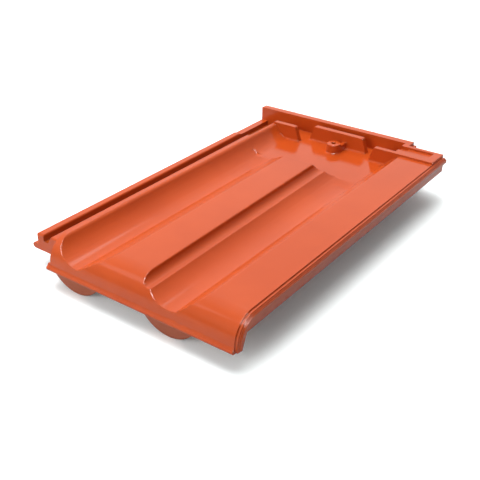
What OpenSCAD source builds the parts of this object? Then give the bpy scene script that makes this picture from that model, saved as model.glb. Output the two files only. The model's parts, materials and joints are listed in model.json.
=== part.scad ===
// Interlocking double-trough clay roof tile, pressed and fired in one piece.
// Millimetres. X runs across the tile, Y runs up the roof from eaves lip to head wall, Z is up.
// The origin is on the floor, under the middle of the tile's box.
// Sections are drawn from the left edge, the eaves edge and the head wall's top (level 0),
// and the last module moves the finished tile to its origin.

/* [Overall] */
// Length from the eaves lip to the back of the head wall
overall_l = 465; // [400:1:560]
// Width from the side lock's flange to the cover flap's nose
overall_w = 300; // [285:1:360]
// Height from the feet to the top of the head wall
overall_h = 58; // [52:1:70]
// Wall of the shell under the flats and the head floor
shell_t = 12; // [9:0.5:14]

/* [Flats and troughs] */
// Drop from the head wall's top to the two flats
flat_drop = 2.7; // [1:0.1:5]
// Width of the cover flap's flat, from trough two to its side edge
flap_w = 45; // [40:0.5:54]
// Radius of the rounded top of the inner rim
rim_r = 2; // [1:0.1:2.5]
// Drop from the flats to the rim's edge over trough one
rim_edge_drop = 2.5; // [0.8:0.1:3]
// Depth of trough one below the flats
trough_one_depth = 20.8; // [16:0.1:22]
// Distance from the inner rim to the deepest line of trough one
trough_one_run = 31.7; // [28:0.1:36]
// Sideways run of the slope from trough one up to the middle flat
slope_one_run = 36; // [28:0.5:44]
// Radius of the fillet between trough one's side and the head floor
floor_fillet_r = 25; // [15:0.5:30]
// Depth of trough two below the flats
trough_two_depth = 19.9; // [16:0.1:22]
// Radius of trough two's floor beside its slope
trough_two_r = 51; // [40:0.5:70]
// Width of trough two at the eaves, from the middle flat to the foot of its slope
trough_two_w = 47.5; // [42:0.5:56]
// Distance from trough two's deepest line to the foot of its slope
slope_two_foot = 10; // [4:0.5:14]
// Sideways run of the slope from trough two up to the flap
slope_two_run = 24.5; // [20:0.5:32]
// Width of the step beside the middle flat
step_w = 12; // [9:0.5:14]
// Depth of that step below the flats
step_depth = 9.6; // [9.6:0.1:12]
// Radius of the hollow between the middle flat's side and the step
step_r = 8; // [1:0.5:8]
// Radius of the middle flat's rounded edge over the step
step_edge_r = 1.5; // [0.5:0.1:1.5]
// Angle at which the step runs off the tile's length, towards trough one at the head
step_turn = 0.7; // [0:0.1:1]
// Distance from trough one's deepest line to the foot of its slope
slope_one_foot = 2.5; // [0.5:0.5:6]

/* [Eaves] */
// Radius of the rounded eaves edge
nose_r = 27; // [18:0.5:30]
// How far the lip stands out of the eaves face
lip_out = 3; // [1.5:0.5:6]
// Height of the lip
lip_h = 5; // [4.8:0.1:8]
// Drop from the head wall's top to the lip's lower edge
lip_drop = 38; // [36:0.5:42]
// Radius of the lip's rounded edges
lip_r = 2.4; // [1:0.1:3]
// Radius of the fillet above the lip
lip_fillet_r = 2.5; // [1:0.1:4]
// How far the lip runs past the inner rim
lip_past_rim = 4; // [0:0.5:8]
// Distance from the eaves edge to the front end of the side lock
lock_setback = 25; // [14:1:40]
// Distance from the eaves edge to the feet
foot_setback = 8; // [6:0.5:14]
// Thickness of each foot, along the tile
foot_t = 14; // [8:1:30]
// Width of each foot where it leaves the shell
foot_w = 72; // [50:1:80]
// Sideways distance from trough one's deepest line to its foot's centre
foot_one_aside = 8; // [4:0.5:14]
// Sideways distance from trough two's deepest line to its foot's centre
foot_two_aside = 4.5; // [2:0.5:12]

/* [Side lock] */
// Width of the flange low on the left edge
flange_w = 9.3; // [5:0.1:12]
// Height of that flange
flange_h = 7; // [4:0.5:9]
// Width of the outer rib
outer_rib_w = 10; // [6:0.5:12]
// Drop from the head wall's top to the outer rib's top
outer_rib_drop = 16.7; // [14:0.1:20]
// Radius of the rounded edges of the lock's ribs
lock_edge_r = 2; // [0.5:0.1:2.5]
// Radius of the rounded front ends of the lock's ribs
lock_end_r = 3; // [1:0.5:5]
// Width of the outer groove's floor
outer_groove_w = 7; // [5:0.5:9]
// Drop from the head wall's top to the grooves' floors
groove_drop = 25; // [22:0.5:27]
// Sideways run of the outer groove's sloping inner side
groove_slope_run = 4.5; // [2:0.5:7]
// Width of the shelf between the two grooves
shelf_w = 10; // [8:0.5:13]
// Drop from the head wall's top to the shelf
shelf_drop = 15.7; // [14:0.1:18]
// Width of the inner groove
inner_groove_w = 9; // [6:0.5:10]
// Width of the land between the inner groove and the rim
land_w = 3.5; // [2:0.5:6]
// Width of the inner rim, which is trough one's outer edge
rim_w = 7; // [6.5:0.5:9]
// Drop from the head wall's top to the bottom of the lock
lock_base_drop = 38; // [35:0.5:38]
// Distance from the tile's back to where the lock's ribs step down
lock_step_back = 75; // [60:1:110]
// How much the outer rib steps down there
outer_rib_step = 2.2; // [1:0.1:4]
// How much the shelf steps down there
shelf_step = 6; // [3:0.5:7]
// Run of the sloping face of that step
lock_step_run = 4; // [1:0.5:8]

/* [Cover flap] */
// How far the flap's nose stands out of its side
nose_out = 5.3; // [4:0.1:7]
// Width of the ledge on the nose beside the flat
nose_ledge_w = 2.8; // [1:0.1:3.5]
// Drop from the flat to that ledge
nose_ledge_drop = 1.4; // [0.8:0.1:2]
// Drop from the ledge to the nose's tip
nose_edge = 1.9; // [1:0.1:2.2]
// How far each step of the nose stops above the lip's lower edge
nose_end_rise = 1.2; // [0.5:0.1:2]
// Share of its height that the nose keeps at its lower end
nose_end_share = 0.45; // [0.3:0.05:0.8]
// Thickness of the flap's plate
flap_t = 12.3; // [9:0.1:13]
// Height of the nose, from its ledge to its lower edge
nose_h = 7.9; // [7:0.1:9.5]
// Width of the flap's outer rib
flap_rib_w = 5.5; // [4:0.5:8]
// Sideways draft of the flap's ribs
flap_rib_draft = 0.8; // [0.2:0.1:1.5]
// Distance from the nose's tip to the flap's outer rib
flap_rib_inset = 3.5; // [2:0.5:6]
// Distance from the eaves face to the front ends of the flap's ribs
flap_rib_setback = 18; // [14:0.5:30]
// Width of the flap's inner rib
flap_inner_rib_w = 5; // [4:0.5:6]
// Distance between the outer faces of the flap's two ribs
flap_rib_gap = 23.5; // [20:0.5:28]
// Drop from the head wall's top to the bottom of the flap's ribs
flap_rib_drop = 23.5; // [20:0.5:24]

/* [Head] */
// Thickness of the head wall
wall_t = 10; // [8:0.5:14]
// Distance from the tile's back to the pocket's rear edge
pocket_setback = 15.4; // [12:0.1:20]
// Width of the right block that carries the pocket
pocket_block_w = 53; // [48:0.5:58]
// Width of the channel between the head wall and the middle rib
channel_w = 14; // [10:0.5:18]
// Thickness of the middle rib
middle_rib_t = 7.5; // [6:0.5:10]
// Length of the middle rib's top
middle_rib_l = 76; // [60:1:90]
// Distance from the middle of the troughs to the middle rib's centre
middle_rib_aside = 5.75; // [0:0.25:10]
// Distance between the middle rib and the two side ribs, along the tile
rib_stagger = 10.5; // [8:0.5:16]
// Thickness of the two side ribs
side_rib_t = 6.5; // [5:0.5:9]
// Width of trough one's drain gap between the ribs
drain_gap_one = 19; // [14:0.5:26]
// Width of trough two's drain gap between the ribs
drain_gap_two = 24.5; // [18:0.5:30]
// Lean of the rib ends
rib_lean = 6; // [2:0.5:10]
// Radius of the rounded top corners of the rib ends
rib_end_r = 2.5; // [0.5:0.5:3]
// Radius of the fillets at the feet of the ribs
rib_fillet_r = 3; // [1:0.5:4]
// Radius of the head wall's rounded top corner
wall_end_r = 1; // [0.5:0.5:3]
// How far the head wall's foot runs past its top
wall_foot_w = 4; // [2:0.5:8]
// Drop from the head wall's top to that foot
wall_foot_drop = 4; // [3:0.5:10]
// Drop from the head wall's top to the head floor
floor_drop = 20; // [18:0.5:22]
// Distance from the tile's back to the end of the middle flat
ridge_end_back = 139; // [110:1:170]
// Run of the slope from the middle flat's end down to the head floor
ridge_end_run = 24; // [14:1:40]
// Length of the ramps from the trough floors up to the head floor
ramp_l = 60; // [30:1:90]
// Depth of the pocket in the right block
pocket_depth = 4.5; // [2:0.5:7]
// Width of the rim beside the pocket
pocket_side_rim = 10.5; // [6:0.5:14]
// Width of the rim behind the pocket
pocket_back_rim = 5.5; // [3:0.1:8]
// Thickness of the block's wall beside the channel
block_wall_t = 7.5; // [4:0.5:10]
// Drop from the right block's rim to its ledge
ledge_drop = 1.2; // [0.5:0.1:2]

/* [Nail boss] */
// Diameter of the nail boss
boss_d = 18.5; // [14:0.5:24]
// Radius of the fillet round the boss's foot
boss_fillet_r = 2; // [0.5:0.5:3]
// Radius of the boss's rounded top edge
boss_edge_r = 1; // [0.5:0.1:1.5]
// Diameter of the nail hole
nail_d = 6.5; // [4:0.5:8]
// Drop from the head wall's top to the boss's top
boss_drop = 8; // [5:0.5:12]
// Distance from the middle rib's front face to the nail hole
boss_ahead = 17.5; // [12:0.5:24]
// Sideways distance from the middle rib's centre to the nail hole
boss_aside = 4.5; // [0:0.5:12]
// Thickness of the web from the boss to the middle rib
boss_web_t = 6; // [4:0.5:8]
// Drop from the boss's top to the web's top
boss_web_drop = 3; // [1:0.5:6]

/* [Hanging nibs] */
// Width of each hanging nib
nib_w = 34; // [24:1:50]
// Thickness of each nib at its tip
nib_tip_t = 9; // [7:0.5:14]
// Thickness of each nib at its root
nib_root_t = 16; // [12:0.5:22]
// Distance from the tile's back to the nibs' hanging faces
nib_back = 58; // [40:1:80]
// Distance between the centres of the two nibs
nib_spacing = 124; // [90:1:150]

/* [Hidden] */

far = 600;                                   // longer than any cut has to reach
lap = 0.4;                                   // how far joined shapes run into each other
round_steps = 8;                             // straight steps in a small rounded edge
curve_steps = 22;                            // straight steps in a trough's curve
bore_sides = 64;                             // sides of the nail hole and of its boss
draft_turn = 70;                             // degrees that an edge turns over a drafted side
ramp_root = 1;                               // how far the ramps start inside the troughs
rim_edge_share = 0.95;                       // most of the rim's flat that its rounded edge takes
rim_edge_end = 0.9;                          // share of the rounded edge before the trough's side

// places across the tile
x_rib = flange_w;
x_groove = x_rib + outer_rib_w;
x_groove_end = x_groove + outer_groove_w;
x_shelf = x_groove_end + groove_slope_run;
x_inner_groove = x_shelf + shelf_w;
x_land = x_inner_groove + inner_groove_w;
x_rim = x_land + land_w;
x_trough_one = x_rim + rim_w;
x_deep_one = x_trough_one + trough_one_run;
x_slope_one = x_deep_one + slope_one_foot;
x_flat = x_slope_one + slope_one_run;
x_edge = overall_w - nose_out;
x_flap = x_edge - flap_w;
x_slope_two = x_flap - slope_two_run;
x_trough_two = x_slope_two - trough_two_w;
x_crease = x_trough_two + step_w;
x_deep_two = x_slope_two - slope_two_foot;
x_block = overall_w - pocket_block_w;
x_middle_rib = (x_trough_one + x_flap) / 2 - middle_rib_aside;
x_boss = x_middle_rib + boss_aside;

// places along the tile
y_face = lip_out;
y_wall = overall_l - wall_t;
y_middle_rib = y_wall - channel_w - middle_rib_t;
y_side_rib = y_middle_rib - rib_stagger - side_rib_t;
y_block_end = overall_l - pocket_setback;
y_ridge_end = overall_l - ridge_end_back;
y_floor = y_ridge_end + ridge_end_run;
y_lock_step = overall_l - lock_step_back;
y_boss = y_middle_rib - boss_ahead;

// levels below the head wall's top
z_flat = -flat_drop;
z_deep_one = z_flat - trough_one_depth;
z_deep_two = z_flat - trough_two_depth;
z_step = z_flat - step_depth;
z_floor = -floor_drop;
z_base = -overall_h;
z_lip = -lip_drop;
z_flap_under = z_flat - flap_t;
z_nose = z_flat - nose_r;
z_nose_under = z_flat - nose_ledge_drop - nose_h;
z_lock = -lock_base_drop;

// sideways shifts that keep one shell wall under the two slopes
lean_one = shell_t * tan(atan(trough_one_depth / slope_one_run) / 2);
lean_two = shell_t * tan(atan(trough_two_depth / slope_two_run) / 2);

// points along an arc from angle a0 to angle a1
function arc(cx, cz, r, a0, a1, n) =
    [for (i = [0:n]) [cx + r * cos(a0 + (a1 - a0) * i / n), cz + r * sin(a0 + (a1 - a0) * i / n)]];

// points along a smooth rise or fall from one place to another, level at both ends
function swell(y0, z0, y1, z1, n) =
    [for (i = [0:n]) [y0 + (y1 - y0) * i / n, z0 + (z1 - z0) * (1 - cos(180 * i / n)) / 2]];

// trough one's rounded side, from the rim down to its deepest line
trough_one_rise = trough_one_depth - rim_edge_drop;
trough_one_r = (trough_one_run ^ 2 + trough_one_rise ^ 2) / (2 * trough_one_rise);
trough_one_lean = asin(trough_one_run / trough_one_r);
function trough_one_curve() =
    arc(x_deep_one, z_deep_one + trough_one_r, trough_one_r, -90 - trough_one_lean, -90, curve_steps);

// the rim's rounded edge, which meets trough one's side without a corner
rim_edge_r = min(
    rim_edge_drop / (1 - cos(trough_one_lean)),
    rim_edge_share * (rim_w - rim_r) / sin(trough_one_lean));
function rim_edge() = let (
    x_round = x_trough_one - rim_edge_r * sin(trough_one_lean)
) arc(x_round, z_flat - rim_edge_r, rim_edge_r, 90, 90 - rim_edge_end * trough_one_lean, round_steps);

// the fillet that leads trough one's side into the head floor
function head_fillet() = let (
    raise = z_floor - z_deep_one,
    dx = sqrt((trough_one_r - floor_fillet_r) ^ 2 - (trough_one_r - raise - floor_fillet_r) ^ 2),
    a = asin(dx / (trough_one_r - floor_fillet_r))
) arc(x_deep_one - dx, z_floor + floor_fillet_r, floor_fillet_r, -90 - a, -90, round_steps);

// trough two's rounded side, from the crease beside the step down to its deepest line
function trough_two_side() = let (
    run = x_deep_two - x_crease,
    rise = trough_two_depth - step_depth,
    r = (run ^ 2 + rise ^ 2) / (2 * rise)
) arc(x_deep_two, z_deep_two + r, r, -90 - asin(run / r), -90, curve_steps);

// trough two's floor, from its deepest line to the foot of its slope
function trough_two_floor() = let (
    turn = asin(slope_two_foot / trough_two_r)
) arc(x_deep_two, z_deep_two + trough_two_r, trough_two_r, -90, -90 + turn, round_steps);

// extrudes a section drawn in X and Z from y0 to y1
module along_y(y0, y1) {
    translate([0, y1, 0])
        rotate([90, 0, 0])
            linear_extrude(y1 - y0)
                children();
}

// extrudes a section drawn in Y and Z from x0 to x1
module along_x(x0, x1) {
    translate([x0, 0, 0])
        rotate([90, 0, 90])
            linear_extrude(x1 - x0)
                children();
}

// top line of the tile between the rim and the flap, before trough two is pressed into it
function main_top() = concat(
    arc(x_rim + rim_r, z_flat - rim_r, rim_r, 180, 90, round_steps),
    rim_edge(),
    trough_one_curve(),
    [[x_slope_one, z_deep_one], [x_flat, z_flat], [x_edge, z_flat]]);

// top line of the recessed head floor between trough one's side and the slope to the flap
function head_top() = concat(head_fillet(),
    [[x_slope_two + (z_floor - z_deep_two) * slope_two_run / trough_two_depth, z_floor]]);

// closes a top line down to a level
function down_to(line, z) = concat([[line[0][0], z]], line, [[line[len(line) - 1][0], z]]);

// the outline of the tile seen from its side: rounded eaves edge, flat top, straight back
module side_outline() {
    polygon(concat(
        [[y_face, z_lip]],
        arc(y_face + nose_r, z_nose, nose_r, 180, 90, curve_steps),
        [[y_block_end, z_flat], [y_block_end, z_lip]]));
}

// the hollow side of the same outline, one shell wall inside it
module inner_side_outline(t) {
    polygon(concat(
        [[y_face + t, z_lip - lap]],
        arc(y_face + nose_r, z_nose, nose_r - t, 180, 90, curve_steps),
        [[y_ridge_end - t, z_flat - t]],
        [[y_ridge_end - t, z_lip - lap]]));
}

// room over the step and over trough two's side, which both run off the tile's length a little
module step_room() {
    x_round = x_trough_two - step_edge_r;
    intersection() {
        translate([x_trough_two, 0, 0])
            rotate([0, 0, step_turn])
                translate([-x_trough_two, 0, 0])
                    along_y(-trough_two_w, y_floor + lap)
                        polygon(concat(
                            [[x_round, far]],
                            arc(x_round, z_flat - step_edge_r, step_edge_r, 90, 0, round_steps),
                            arc(x_trough_two + step_r, z_step + step_r, step_r, 180, 270, round_steps),
                            trough_two_side(),
                            [[x_slope_two, z_deep_two], [x_slope_two, far]]));
        along_y(-far, far)
            polygon([[0, z_lip], [0, far], [x_deep_two, far], [x_deep_two, z_lip]]);
    }
}

// room over trough two's floor and over its slope up to the flap
module trough_two_room() {
    along_y(-lap, y_block_end + lap)
        polygon(concat(
            [[x_deep_two, far]],
            trough_two_floor(),
            [[x_flap, z_flat], [x_flap, far]]));
}

// solid body with both troughs and the recessed head, before it is hollowed
module pressed_body() {
    intersection() {
        along_x(x_rim, x_edge)
            side_outline();
        union() {
            difference() {
                intersection() {
                    along_y(0, y_floor + lap)
                        polygon(down_to(main_top(), z_lip));
                    along_x(0, overall_w)
                        polygon(concat(
                            [[0, z_lip], [0, 0], [y_ridge_end, 0]],
                            swell(y_ridge_end, z_flat + lap, y_floor, z_floor, curve_steps),
                            [[y_floor, z_lip]]));
                }
                step_room();
                trough_two_room();
            }
            difference() {
                along_y(y_ridge_end, y_block_end)
                    intersection() {
                        polygon(down_to(main_top(), z_lip));
                        union() {
                            translate([x_rim, z_lip])
                                square([x_slope_one - x_rim, lip_drop]);
                            translate([x_slope_two, z_lip])
                                square([x_edge - x_slope_two, lip_drop]);
                        }
                    }
                trough_two_room();
            }
            along_y(y_floor, y_block_end)
                polygon(down_to(head_top(), z_lip));
            along_x(x_trough_one + ramp_root, x_slope_two + slope_two_foot)
                polygon(concat(
                    swell(y_floor - ramp_l, z_deep_one - ramp_root, y_floor, z_floor, curve_steps),
                    [[y_floor + lap, z_floor], [y_floor + lap, z_lip], [y_floor - ramp_l, z_lip]]));
        }
    }
}

// long hollow under the middle flat and the step beside it
module under_middle() {
    intersection() {
        along_x(0, overall_w)
            inner_side_outline(shell_t);
        along_y(0, y_ridge_end)
            polygon([[x_slope_one + lean_one, z_lip - lap], [x_slope_one + lean_one, z_deep_one - shell_t],
                     [x_flat + lean_one, z_flat - shell_t], [x_trough_two - shell_t, z_flat - shell_t],
                     [x_trough_two - shell_t, z_step - shell_t], [x_crease, z_step - shell_t],
                     [x_deep_two - slope_two_foot, z_deep_two - shell_t], [x_deep_two, z_lip - lap]]);
    }
}

// room behind the left head rib, where the channel drains over the rim into the side lock
module rim_drain() {
    y_drain = y_side_rib + side_rib_t;
    along_x(x_rim - lap, x_deep_one)
        polygon([[y_drain, z_floor], [y_drain, far], [y_wall, far], [y_wall, z_floor]]);
}

// long hollow under the cover flap and the slope that leads up to it
module under_flap() {
    intersection() {
        along_x(0, overall_w)
            polygon(concat(
                [[y_face + shell_t, z_lip - lap]],
                arc(y_face + nose_r, z_nose, nose_r - shell_t, 180, 90, curve_steps),
                [[y_face + nose_r, z_flap_under], [far, z_flap_under], [far, z_lip - lap]]));
        along_y(0, far)
            polygon([[x_slope_two + lean_two, z_lip - lap], [x_slope_two + lean_two, z_deep_two - shell_t],
                     [x_flap + lean_two, z_flat - shell_t], [far, z_flat - shell_t], [far, z_lip - lap]]);
    }
}

// shallow relief under one trough, from behind the eaves to the head wall
module under_trough(x0, x1, z_deep) {
    y_ramp = y_floor - ramp_l;
    along_x(x0, x1)
        polygon([[nose_r, z_lip - lap], [nose_r + shell_t, z_deep - shell_t],
                 [y_ramp, z_deep - shell_t], [y_floor, z_floor - shell_t],
                 [y_wall, z_floor - shell_t], [y_wall, z_lip - lap]]);
}

// reliefs under the troughs and the recessed head, which leave one shell wall there
module under_floors() {
    under_trough(x_trough_one, x_slope_one + lean_one, z_deep_one);
    under_trough(x_deep_two - slope_two_foot, x_slope_two, z_deep_two);
    along_x(x_trough_one, x_slope_two)
        polygon([[y_floor - lap, z_lip - lap], [y_floor - lap, z_floor - shell_t],
                 [y_wall, z_floor - shell_t], [y_wall, z_lip - lap]]);
}

// eaves lip: a bead along the lower edge of the eaves face
module eaves_lip() {
    z_fillet = z_lip + lip_h + lip_fillet_r;
    edge_turn = 70;                          // degrees that the lip's upper edge turns through
    fillet_turn = 60;                        // degrees that the fillet above it turns back
    along_x(x_rim - lip_past_rim, x_edge)
        polygon(concat(
            [[y_face + lip_h, z_lip]],
            arc(lip_r, z_lip + lip_r, lip_r, -90, -180, round_steps),
            arc(lip_r, z_lip + lip_h - lip_r, lip_r, 180, 180 - edge_turn, round_steps),
            arc(y_face - lip_fillet_r, z_fillet, lip_fillet_r, -fillet_turn, 0, round_steps),
            [[y_face + lip_h, z_fillet]]));
}

// two rounded feet under the troughs, just behind the lip
module feet() {
    rise = z_deep_one - shell_t - z_base + lap;
    r = (foot_w ^ 2 / 4 + rise ^ 2) / (2 * rise);
    half = asin(foot_w / 2 / r);
    for (cx = [x_deep_one - foot_one_aside, x_deep_two - foot_two_aside])
        along_y(foot_setback, foot_setback + foot_t)
            polygon(arc(cx, z_base + r, r, -90 - half, -90 + half, curve_steps));
}

// room over the front end of a lock rib, which leaves its top edge rounded
function lock_end(z_top) = concat(
    [[lock_setback - lap, z_top + lap], [lock_setback - lap, z_top - lock_end_r]],
    arc(lock_setback + lock_end_r, z_top - lock_end_r, lock_end_r, 180, 90, round_steps),
    [[lock_setback + lock_end_r, z_top + lap]]);

// side lock along the left edge: flange, outer rib, groove, shelf and inner groove
module side_lock() {
    z_rib = -outer_rib_drop;
    z_shelf = -shelf_drop;
    z_groove = -groove_drop;
    groove_draft = lock_edge_r / 2;
    x_round = x_shelf + lock_edge_r;
    difference() {
        along_y(lock_setback, overall_l)
            polygon(concat(
                arc(flange_h / 2, z_lock + flange_h / 2, flange_h / 2, -90, -270, round_steps),
                [[x_rib, z_lock + flange_h]],
                arc(x_rib + lock_edge_r, z_rib - lock_edge_r, lock_edge_r, 180, 90, round_steps),
                arc(x_groove - lock_edge_r, z_rib - lock_edge_r, lock_edge_r, 90, 0, round_steps),
                [[x_groove, z_groove], [x_groove_end, z_groove]],
                arc(x_round, z_shelf - lock_edge_r, lock_edge_r, 90 + draft_turn, 90, round_steps),
                [[x_inner_groove, z_shelf], [x_inner_groove + groove_draft, z_groove]],
                [[x_land - groove_draft, z_groove], [x_land, z_shelf]],
                [[x_rim + lap, z_shelf], [x_rim + lap, z_lock]]));
        along_x(-lap, x_groove_end)
            polygon(lock_end(z_rib));
        along_x(x_groove_end, x_rim)
            polygon(lock_end(z_shelf));
        along_x(-lap, x_groove + lap)
            polygon([[y_lock_step - lock_step_run, z_rib], [y_lock_step, z_rib - outer_rib_step],
                     [far, z_rib - outer_rib_step], [far, 0], [y_lock_step - lock_step_run, 0]]);
        along_x(x_groove_end, x_rim)
            polygon([[y_lock_step - lock_step_run, 0], [y_lock_step - lock_step_run, z_shelf],
                     [y_lock_step, z_shelf - shelf_step], [y_wall, z_shelf - shelf_step], [y_wall, 0]]);
    }
    along_y(y_block_end - lap, overall_l)
        polygon([[x_rim, z_lock], [x_rim, z_floor], [x_block, z_floor], [x_block, z_lock]]);
}

// stepped nose along the flap's side, which follows the rounded eaves edge down to the lip
module flap_nose() {
    x_ledge = x_edge + nose_ledge_w;
    steps = [[x_ledge, 0], [(x_ledge + overall_w) / 2, nose_edge / 2], [overall_w, nose_edge]];
    for (i = [0:len(steps) - 1])
        nose_band(steps[i][0], steps[i][1], z_lip + (i + 1) * nose_end_rise);
}

// one step of the nose, drawn in from its top and bottom, which bends down along the eaves
module nose_band(x1, draw_in, z_end) {
    top = nose_ledge_drop + draw_in;
    bottom = nose_ledge_drop + nose_h - draw_in;
    end_depth = top + (bottom - top) * nose_end_share;
    under_turn = 45;                         // degrees that its underside follows the eaves edge
    along_x(x_edge - lap, x1)
        polygon(concat(
            [[y_face + top, z_end]],
            arc(y_face + nose_r, z_nose, nose_r - top, 180, 90, curve_steps),
            [[y_block_end, z_flat - top], [y_block_end, z_flat - bottom]],
            arc(y_face + nose_r, z_nose, nose_r - bottom, 90, 90 + under_turn, curve_steps),
            [[y_face + end_depth, z_end]]));
}

// long rib under the flap, w wide at its root
module flap_rib(x, w) {
    z_root = z_nose_under + lap;
    along_y(y_face + flap_rib_setback, y_block_end)
        polygon([[x, z_root], [x + flap_rib_draft, -flap_rib_drop],
                 [x + w - flap_rib_draft, -flap_rib_drop], [x + w, z_root]]);
}

// the flap's two ribs, which drop into the next tile's grooves
module flap_ribs() {
    x_outer = overall_w - flap_rib_inset;
    flap_rib(x_outer - flap_rib_w, flap_rib_w);
    flap_rib(x_outer - flap_rib_gap - flap_inner_rib_w, flap_inner_rib_w);
}

// section of an upright wall of the head from y0 to y1, with a fillet along both feet
function wall_section(y0, y1, r) = concat(
    [[y0 - r, z_floor - lap]],
    arc(y0 - r, z_floor + r, r, -90, 0, round_steps),
    [[y0, 0], [y1, 0]],
    arc(y1 + r, z_floor + r, r, 180, 270, round_steps),
    [[y1 + r, z_floor - lap]]);

// one rib of the head, with leaning ends and fillets along its foot
module head_rib(x0, x1, y0, t, lean0, lean1) {
    intersection() {
        along_y(y0 - rib_fillet_r, y0 + t + rib_fillet_r)
            polygon(concat(
                [[x0 - lean0, z_floor - lap]],
                arc(x0 + rib_end_r, -rib_end_r, rib_end_r, 90 + draft_turn, 90, round_steps),
                arc(x1 - rib_end_r, -rib_end_r, rib_end_r, 90, 90 - draft_turn, round_steps),
                [[x1 + lean1, z_floor - lap]]));
        along_x(x0 - lean0, x1 + lean1)
            polygon(wall_section(y0, y0 + t, rib_fillet_r));
    }
}

// three staggered ribs across the head, with a drain gap at each trough
module head_ribs() {
    x_left = x_middle_rib - middle_rib_l / 2;
    x_right = x_middle_rib + middle_rib_l / 2;
    head_rib(x_rim + rim_r, x_left - drain_gap_one, y_side_rib, side_rib_t, 0, rib_lean);
    head_rib(x_left, x_right, y_middle_rib, middle_rib_t, rib_lean, rib_lean);
    head_rib(x_right + drain_gap_two, x_edge, y_side_rib, side_rib_t, rib_lean, 0);
}

// head wall, which the next tile up laps over
module head_wall() {
    along_y(y_wall, overall_l)
        polygon(concat(
            [[x_rib, z_lock]],
            arc(x_rib + wall_end_r, -wall_end_r, wall_end_r, 180, 90, round_steps),
            [[x_block, 0], [x_block, -wall_foot_drop], [x_block + wall_foot_w, -wall_foot_drop],
             [x_block + wall_foot_w, z_lock]]));
}

// right block behind the flap: rim, ledge and pocket
module pocket_block() {
    x_pocket_end = x_edge - pocket_side_rim;
    difference() {
        union() {
            along_x(x_block - block_wall_t, x_edge)
                polygon([[y_side_rib, z_flap_under], [y_side_rib, 0], [y_block_end, 0],
                         [y_block_end, z_flap_under]]);
            along_x(x_block - block_wall_t, x_block)
                polygon([[y_block_end - lap, z_floor - shell_t], [y_block_end - lap, 0], [overall_l, 0],
                         [overall_l, z_floor - shell_t]]);
        }
        along_x(0, x_pocket_end)
            polygon([[y_side_rib + side_rib_t, far], [y_side_rib + side_rib_t, -ledge_drop],
                     [y_middle_rib, -ledge_drop], [y_middle_rib, -pocket_depth],
                     [y_block_end - pocket_back_rim, -pocket_depth], [y_block_end - pocket_back_rim, far]]);
    }
}

// raised boss round the nail hole, with a web to the middle rib
module nail_boss() {
    boss_h = floor_drop + lap - boss_drop;
    r_foot = boss_d / 2 + boss_fillet_r;
    r_top = boss_d / 2 - boss_edge_r;
    translate([x_boss, y_boss, z_floor - lap])
        rotate_extrude($fn = bore_sides)
            polygon(concat(
                [[0, 0], [r_foot, 0]],
                arc(r_foot, lap + boss_fillet_r, boss_fillet_r, 270, 180, round_steps),
                arc(r_top, boss_h - boss_edge_r, boss_edge_r, 0, 90, round_steps),
                [[0, boss_h]]));
    translate([x_boss + boss_d / 2 - boss_web_t, y_boss, z_floor - lap])
        cube([boss_web_t, boss_ahead + lap, boss_h - boss_web_drop]);
}

// two nibs under the head, which hang on the batten
module hanging_nibs() {
    y_hang = overall_l - nib_back;
    z_root = z_floor - shell_t + lap;
    for (side = [-1, 1])
        translate([x_middle_rib + side * nib_spacing / 2, 0, 0])
            along_x(-nib_w / 2, nib_w / 2)
                polygon([[y_hang, z_root], [y_hang, z_base], [y_hang + nib_tip_t, z_base],
                         [y_hang + nib_root_t, z_root]]);
}

module roof_tile() {
    color("#d9623c")
        translate([-overall_w / 2, -overall_l / 2, overall_h])
            difference() {
                union() {
                    difference() {
                        union() {
                            difference() {
                                pressed_body();
                                rim_drain();
                            }
                            head_ribs();
                            pocket_block();
                        }
                        under_middle();
                        under_flap();
                        under_floors();
                    }
                    eaves_lip();
                    feet();
                    side_lock();
                    flap_nose();
                    flap_ribs();
                    head_wall();
                    nail_boss();
                    hanging_nibs();
                }
                translate([x_boss, y_boss, z_base])
                    cylinder(h = overall_h + lap, d = nail_d, $fn = bore_sides);
            }
}

roof_tile();
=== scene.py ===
import json
import math
import bmesh
import bpy
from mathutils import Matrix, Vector


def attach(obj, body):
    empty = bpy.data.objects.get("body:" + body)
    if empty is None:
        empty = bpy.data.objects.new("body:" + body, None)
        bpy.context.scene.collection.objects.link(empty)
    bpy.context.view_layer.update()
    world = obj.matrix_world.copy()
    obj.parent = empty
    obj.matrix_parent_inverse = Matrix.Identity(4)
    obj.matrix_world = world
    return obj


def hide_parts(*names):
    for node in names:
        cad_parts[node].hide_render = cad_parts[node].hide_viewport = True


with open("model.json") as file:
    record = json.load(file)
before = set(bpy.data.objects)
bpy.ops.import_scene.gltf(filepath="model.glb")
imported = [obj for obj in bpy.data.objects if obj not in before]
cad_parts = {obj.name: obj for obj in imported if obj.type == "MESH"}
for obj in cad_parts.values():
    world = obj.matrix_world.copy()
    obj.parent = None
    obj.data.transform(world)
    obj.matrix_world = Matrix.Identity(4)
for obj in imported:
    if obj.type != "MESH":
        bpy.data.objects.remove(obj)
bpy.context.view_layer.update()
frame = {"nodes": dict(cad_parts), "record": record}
print("frame loaded")

root = "root"


def newObject(name, data):
    made = bpy.data.objects.new(name, data)
    bpy.context.scene.collection.objects.link(made)
    return made


def link(tree, fromSocket, toSocket):
    tree.links.new(fromSocket, toSocket)


# a socket takes either a fixed value or another node's output
def feed(tree, socket, given):
    if isinstance(given, (int, float, tuple)):
        socket.default_value = given
    else:
        link(tree, given, socket)


def mathNode(tree, operation, first, second):
    node = tree.nodes.new("ShaderNodeMath")
    node.operation = operation
    feed(tree, node.inputs[0], first)
    feed(tree, node.inputs[1], second)
    return node.outputs[0]


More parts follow.
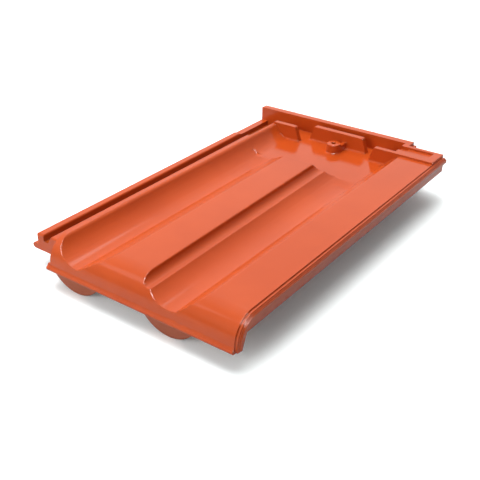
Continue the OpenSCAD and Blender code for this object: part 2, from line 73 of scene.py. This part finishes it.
def mixColour(tree, share, first, second):
    node = tree.nodes.new("ShaderNodeMix")
    node.data_type = "RGBA"
    mixSockets = (node.inputs[0], node.inputs[6], node.inputs[7])   # the share and the two colours
    for socket, given in zip(mixSockets, (share, first, second)):
        feed(tree, socket, given)
    return node.outputs[2]


def noiseNode(tree, vector, scale, detail):
    node = tree.nodes.new("ShaderNodeTexNoise")
    feed(tree, node.inputs["Vector"], vector)
    feed(tree, node.inputs["Scale"], scale)
    feed(tree, node.inputs["Detail"], detail)
    return node.outputs["Fac"]


# a smooth rise from 0 to 1 as the value goes from low to high
def rangeNode(tree, value, low, high):
    node = tree.nodes.new("ShaderNodeMapRange")
    node.interpolation_type = "SMOOTHSTEP"
    for socket, given in zip(node.inputs[:3], (value, low, high)):
        feed(tree, socket, given)
    return node.outputs[0]


def attributeNode(tree, name):
    node = tree.nodes.new("ShaderNodeAttribute")
    node.attribute_name = name
    return node.outputs["Fac"]


# an empty shader group with the named inputs and one output
def newGroup(name, vectors, colours, numbers, output, outputKind):
    tree = bpy.data.node_groups.new(name, "ShaderNodeTree")
    kinds = (("NodeSocketVector", vectors), ("NodeSocketColor", colours), ("NodeSocketFloat", numbers))
    for kind, names in kinds:
        for inputName in names:
            tree.interface.new_socket(name=inputName, in_out="INPUT", socket_type=kind)
    tree.interface.new_socket(name=output, in_out="OUTPUT", socket_type=outputKind)
    groupIn = tree.nodes.new("NodeGroupInput")
    groupOut = tree.nodes.new("NodeGroupOutput")
    return tree, groupIn.outputs, groupOut.inputs[output]


def groupNode(tree, group, values):
    node = tree.nodes.new("ShaderNodeGroup")
    node.node_tree = group
    for name, given in values.items():
        feed(tree, node.inputs[name], given)
    return node


mottle = {
    "cloudDetail": 4,
    "cloudStart": 0.35,     # noise at which a cloud starts, and at which it is full
    "cloudFull": 0.7,
    "speckDetail": 2,
    "speckStart": 0.62,
    "speckFull": 0.74,
}


# mottled clay colour: broad clouds and small specks of a darker tone
def makeClayTone(sizes):
    tree, given, result = newGroup(
        "clayTone", ["Vector"], ["Colour", "Dark"], ["Cloud Scale", "Speck Scale", "Speck Amount"],
        "Colour", "NodeSocketColor")
    clouds = noiseNode(tree, given["Vector"], given["Cloud Scale"], sizes["cloudDetail"])
    cloudShare = rangeNode(tree, clouds, sizes["cloudStart"], sizes["cloudFull"])
    clouded = mixColour(tree, cloudShare, given["Colour"], given["Dark"])
    specks = noiseNode(tree, given["Vector"], given["Speck Scale"], sizes["speckDetail"])
    speckMask = rangeNode(tree, specks, sizes["speckStart"], sizes["speckFull"])
    speckShare = mathNode(tree, "MULTIPLY", speckMask, given["Speck Amount"])
    link(tree, mixColour(tree, speckShare, clouded, given["Dark"]), result)
    return tree


pressing = {
    "waveDetail": 1,
    "grainDetail": 3,
}


# relief of a pressed and fired face: long waves from the mould and fine grain in the glaze
def makePressedRelief(sizes):
    tree, given, result = newGroup(
        "pressedRelief", ["Vector"], [], ["Wave Scale", "Wave Height", "Grain Scale", "Grain Height"],
        "Height", "NodeSocketFloat")
    waves = noiseNode(tree, given["Vector"], given["Wave Scale"], sizes["waveDetail"])
    grain = noiseNode(tree, given["Vector"], given["Grain Scale"], sizes["grainDetail"])
    waveHeight = mathNode(tree, "MULTIPLY", waves, given["Wave Height"])
    grainHeight = mathNode(tree, "MULTIPLY", grain, given["Grain Height"])
    link(tree, mathNode(tree, "ADD", waveHeight, grainHeight), result)
    return tree


clayTone = makeClayTone(mottle)
pressedRelief = makePressedRelief(pressing)
print("clay tone and relief made")

glazedClay = {
    "colour": (0.45, 0.063, 0.0095, 1),     # glazed upper faces
    "dark": (0.41, 0.055, 0.008, 1),
    "cloudScale": 9,
    "speckScale": 900,
    "speckAmount": 0.25,
    "grooveShade": (0.33, 0.052, 0.008, 1),      # painted shade: a darker glaze colour in the lock's deep grooves, where shade falls
    "rawShadedColour": (0.33, 0.088, 0.043, 1),   # bare fired clay, made darker as painted shade for the shaded undersides and feet
    "rawShadedDark": (0.27, 0.068, 0.034, 1),
    "rawCloudScale": 25,
    "rawSpeckScale": 500,
    "rawSpeckAmount": 0.8,
    "roughness": 0.14,
    "rawRoughness": 0.62,
    "specular": 0.36,
    "softEdge": 0.0013,                     # rounding that the thick glaze gives to the edges
    "softSamples": 8,
    "waveScale": 16,
    "waveHeight": 0.5,
    "grainScale": 420,
    "grainHeight": 0.03,
    "bumpStrength": 0.25,
    "bumpDistance": 0.001,
}


# glaze, painted shade in the grooves and bare clay that is partly painted shade, by the two masks that
# the tile's faces carry
def clayColour(tree, point, bareAndShaded, look):
    glaze = groupNode(tree, clayTone, {
        "Vector": point, "Colour": look["colour"], "Dark": look["dark"],
        "Cloud Scale": look["cloudScale"], "Speck Scale": look["speckScale"],
        "Speck Amount": look["speckAmount"]})
    # bare clay in a darker tone, which is partly painted shade
    raw = groupNode(tree, clayTone, {
        "Vector": point, "Colour": look["rawShadedColour"], "Dark": look["rawShadedDark"],
        "Cloud Scale": look["rawCloudScale"], "Speck Scale": look["rawSpeckScale"],
        "Speck Amount": look["rawSpeckAmount"]})
    # painted shade: this mask darkens the glaze in the lock's grooves, where shade falls
    grooveShade = attributeNode(tree, "grooveShade")
    glazed = mixColour(tree, grooveShade, glaze.outputs["Colour"], look["grooveShade"])
    return mixColour(tree, bareAndShaded, glazed, raw.outputs["Colour"])


# the relief as bump, on normals that turn softly round the edges
def clayNormal(tree, point, look):
    softEdge = tree.nodes.new("ShaderNodeBevel")
    softEdge.samples = look["softSamples"]
    softEdge.inputs["Radius"].default_value = look["softEdge"]
    relief = groupNode(tree, pressedRelief, {
        "Vector": point, "Wave Scale": look["waveScale"], "Wave Height": look["waveHeight"],
        "Grain Scale": look["grainScale"], "Grain Height": look["grainHeight"]})
    bump = tree.nodes.new("ShaderNodeBump")
    bump.inputs["Strength"].default_value = look["bumpStrength"]
    bump.inputs["Distance"].default_value = look["bumpDistance"]
    link(tree, relief.outputs["Height"], bump.inputs["Height"])
    link(tree, softEdge.outputs["Normal"], bump.inputs["Normal"])
    return bump.outputs["Normal"]


def makeGlazedClay(look):
    material = bpy.data.materials.new("glazedClay")
    material.use_nodes = True
    tree = material.node_tree
    shader = tree.nodes["Principled BSDF"]
    point = tree.nodes.new("ShaderNodeTexCoord").outputs["Object"]
    bareAndShaded = attributeNode(tree, "bareAndShaded")
    link(tree, clayColour(tree, point, bareAndShaded, look), shader.inputs["Base Color"])
    rougher = mathNode(tree, "MULTIPLY", bareAndShaded, look["rawRoughness"] - look["roughness"])
    link(tree, mathNode(tree, "ADD", rougher, look["roughness"]), shader.inputs["Roughness"])
    shader.inputs["Specular IOR Level"].default_value = look["specular"]
    link(tree, clayNormal(tree, point, look), shader.inputs["Normal"])
    return material


tileSizes = {
    "mergeDistance": 0.00002,
    "flatAngle": math.radians(0.6),     # facets that meet flatter than this become one face
    "sharpAngle": math.radians(24),     # edges sharper than this are rounded
    "creaseAngle": math.radians(35),    # edges sharper than this break the shading
    "edgeRound": 0.0009,                # width of the rounding that pressing leaves
    "edgeSegments": 3,
    "bareSlope": -0.35,                 # faces that look further down than this have no glaze
    "bareAndShadedBelow": 0.0195,                # nor have the feet and nibs, which lie lower than the lip; their darker colour is painted shade under the lip
    "endSlope": -0.5,                   # faces that look further towards the eaves are the lock's ends
    "grooves": ("outer_groove", "inner_groove"),
    "grooveReach": 0.004,               # how far a groove's sides lie from the room stated in it
    "grooveTop": 0.002,                 # the rounded upper edges of its sides are left out of the painted shade
}


# a copy of the moulded solid, merged and cleaned so that it can take a bevel
def mergedCopy(source, name, sizes):
    mesh = source.data.copy()
    mesh.materials.clear()
    work = bmesh.new()
    work.from_mesh(mesh)
    bmesh.ops.remove_doubles(work, verts=work.verts, dist=sizes["mergeDistance"])
    bmesh.ops.dissolve_degenerate(work, edges=work.edges, dist=sizes["mergeDistance"])
    bmesh.ops.dissolve_limit(work, angle_limit=sizes["flatAngle"], verts=work.verts, edges=work.edges)
    bmesh.ops.recalc_face_normals(work, faces=work.faces)
    work.to_mesh(mesh)
    work.free()
    return newObject(name, mesh)


# gives every sharp edge the weight that the bevel looks for
def markEdges(mesh, sizes):
    work = bmesh.new()
    work.from_mesh(mesh)
    weight = work.edges.layers.float.new("bevel_weight_edge")
    count = 0
    for edge in work.edges:
        if len(edge.link_faces) == 2 and edge.calc_face_angle(0) > sizes["sharpAngle"]:
            edge[weight] = 1
            count += 1
    work.to_mesh(mesh)
    work.free()
    return count


# rounds the marked edges and keeps the flats flat in the shading
def roundEdges(piece, sizes):
    for face in piece.data.polygons:
        face.use_smooth = True
    piece.data.set_sharp_from_angle(angle=sizes["creaseAngle"])
    bevel = piece.modifiers.new("edgeRounding", "BEVEL")
    bevel.limit_method = "WEIGHT"
    bevel.width = sizes["edgeRound"]
    bevel.segments = sizes["edgeSegments"]
    bevel.miter_outer = "MITER_ARC"
    weighted = piece.modifiers.new("faceWeighting", "WEIGHTED_NORMAL")
    weighted.keep_sharp = True
    ready = piece.evaluated_get(bpy.context.evaluated_depsgraph_get())
    mesh = bpy.data.meshes.new_from_object(ready)
    piece.modifiers.clear()
    piece.data = mesh


# the room in each groove of the side lock, grown to reach the groove's floor and sides
def grooveRooms(sizes):
    reach = sizes["grooveReach"]
    rooms = []
    for opening in frame["record"]["physics"]["openings"]:
        if opening["name"] in sizes["grooves"]:
            low, high = (Vector(corner) for corner in opening["box_m"])
            growth = Vector((reach, reach, -sizes["grooveTop"]))
            rooms.append((low - Vector((reach, reach, reach)), high + growth))
    return rooms


def isInside(point, rooms):
    return any(all(low[i] < point[i] < high[i] for i in range(3)) for low, high in rooms)


# two masks on the faces: where the clay is bare and painted darker as shade, and where painted shade
# darkens the lock's grooves
def markBareAndShade(mesh, sizes):
    bareAndShaded = mesh.attributes.new("bareAndShaded", "FLOAT", "FACE")
    grooveShade = mesh.attributes.new("grooveShade", "FLOAT", "FACE")
    rooms = grooveRooms(sizes)
    for face in mesh.polygons:
        # undersides and the feet below the lip are bare clay, darkened as painted shade
        bareOrShaded = face.normal.z < sizes["bareSlope"] or face.center.z < sizes["bareAndShadedBelow"]
        # painted shade goes on the grooves' floors and sides
        inGroove = face.normal.y > sizes["endSlope"] and isInside(face.center, rooms)
        bareAndShaded.data[face.index].value = float(bareOrShaded)
        grooveShade.data[face.index].value = float(inGroove)


def makeTile(sizes, look):
    made = mergedCopy(frame["nodes"]["roof_tile"], "roofTile", sizes)
    print("sharp edges", markEdges(made.data, sizes))
    roundEdges(made, sizes)
    made.data.name = "roofTile"
    made.data.materials.clear()
    made.data.materials.append(makeGlazedClay(look))
    markBareAndShade(made.data, sizes)
    print("tile faces", len(made.data.polygons))
    return made


tile = makeTile(tileSizes, glazedClay)
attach(tile, root)
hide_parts("roof_tile")

room = {
    "floorSize": 12.0,
    "floorColour": (0.93, 0.98, 0.98, 1),
    "bouncedColour": (0.52, 0.53, 0.53, 1),     # darker for the light that it throws back on the tile
    "shadowLift": 0.09,                         # keeps the shadow on the paper light
    "liftColour": (1, 1, 1, 1),
    "roughness": 0.9,
    "specular": 0.1,
}


def makePaper(look):
    material = bpy.data.materials.new("paleFloor")
    material.use_nodes = True
    tree = material.node_tree
    shader = tree.nodes["Principled BSDF"]
    seen = tree.nodes.new("ShaderNodeLightPath").outputs["Is Camera Ray"]
    colour = mixColour(tree, seen, look["bouncedColour"], look["floorColour"])
    link(tree, colour, shader.inputs["Base Color"])
    lift = mathNode(tree, "MULTIPLY", seen, look["shadowLift"])
    link(tree, lift, shader.inputs["Emission Strength"])
    shader.inputs["Emission Color"].default_value = look["liftColour"]
    shader.inputs["Roughness"].default_value = look["roughness"]
    shader.inputs["Specular IOR Level"].default_value = look["specular"]
    return material


def makeFloor(sizes):
    half = sizes["floorSize"] / 2
    corners = [(-half, -half, 0), (half, -half, 0), (half, half, 0), (-half, half, 0)]
    mesh = bpy.data.meshes.new("studioFloor")
    mesh.from_pydata(corners, [], [(0, 1, 2, 3)])
    mesh.materials.append(makePaper(sizes))
    newObject("studioFloor", mesh)


makeFloor(room)
print("floor laid")


# turns a light or the camera to look along a direction
def turnTo(thing, direction):
    thing.rotation_euler = direction.to_track_quat("-Z", "Y").to_euler()


lightAim = (0, 0, 0.03)     # the middle of the tile, which every light points at
lights = {
    # name: place, size, power, lights faces, shows in the glaze
    "keyLight": ((-1.0, 0.75, 2.0), 1.8, 37, True, False),
    "topLight": ((-0.1, -0.1, 2.2), 1.3, 35, True, False),
    "frontFill": ((-0.5, -2.2, 1.0), 1.2, 33, True, False),
    "edgeLight": ((0.50, -0.95, 1.92), 1.0, 140, False, True),
    "rimLight": ((0.75, 0.05, 2.0), 0.45, 30, False, True),
    "streakLight": ((-0.80, 1.12, 2.02), 0.5, 1.8, False, True),
    "footLight": ((-1.3, -1.2, 1.6), 0.6, 1.5, False, True),
}


def makeLight(name, place, size, power, onFaces, inGlaze):
    data = bpy.data.lights.new(name, "AREA")
    data.size = size
    data.energy = power
    light = newObject(name, data)
    light.location = place
    turnTo(light, Vector(lightAim) - light.location)
    light.visible_diffuse = onFaces
    light.visible_glossy = inGlaze


for name, settings in lights.items():
    makeLight(name, *settings)
print("lights placed", len(lights))

studio = {
    "bright": 0.93,
    "dim": 0.18,
    "towards": (-0.75, 0.5, 0.3),   # the bright side
    "low": -0.3,                    # where the light starts to rise, and where it is full
    "high": 0.85,
    "colour": (1, 1, 1, 1),
}


# surroundings that are bright behind the tile on its left and fall off to its right
def makeWorld(sizes):
    world = bpy.data.worlds.new("studioWorld")
    bpy.context.scene.world = world
    world.use_nodes = True
    tree = world.node_tree
    facing = tree.nodes.new("ShaderNodeVectorMath")
    facing.operation = "DOT_PRODUCT"
    link(tree, tree.nodes.new("ShaderNodeTexCoord").outputs["Generated"], facing.inputs[0])
    facing.inputs[1].default_value = sizes["towards"]
    share = rangeNode(tree, facing.outputs["Value"], sizes["low"], sizes["high"])
    spread = mathNode(tree, "MULTIPLY", share, sizes["bright"] - sizes["dim"])
    background = tree.nodes["Background"]
    background.inputs["Color"].default_value = sizes["colour"]
    link(tree, mathNode(tree, "ADD", spread, sizes["dim"]), background.inputs["Strength"])


makeWorld(studio)

tripod = {
    "lens": 58.53,
    "sensorWidth": 36,
    "place": (0.4787, -0.6756, 0.4586),
    "towards": (-0.51349, 0.69905, -0.49766),
}


def makeCamera(sizes):
    data = bpy.data.cameras.new("tileCamera")
    data.lens = sizes["lens"]
    data.sensor_width = sizes["sensorWidth"]
    camera = newObject("tileCamera", data)
    camera.location = sizes["place"]
    turnTo(camera, Vector(sizes["towards"]))
    bpy.context.scene.camera = camera


makeCamera(tripod)
bpy.context.scene.view_settings.view_transform = "Standard"
print("world and camera set")
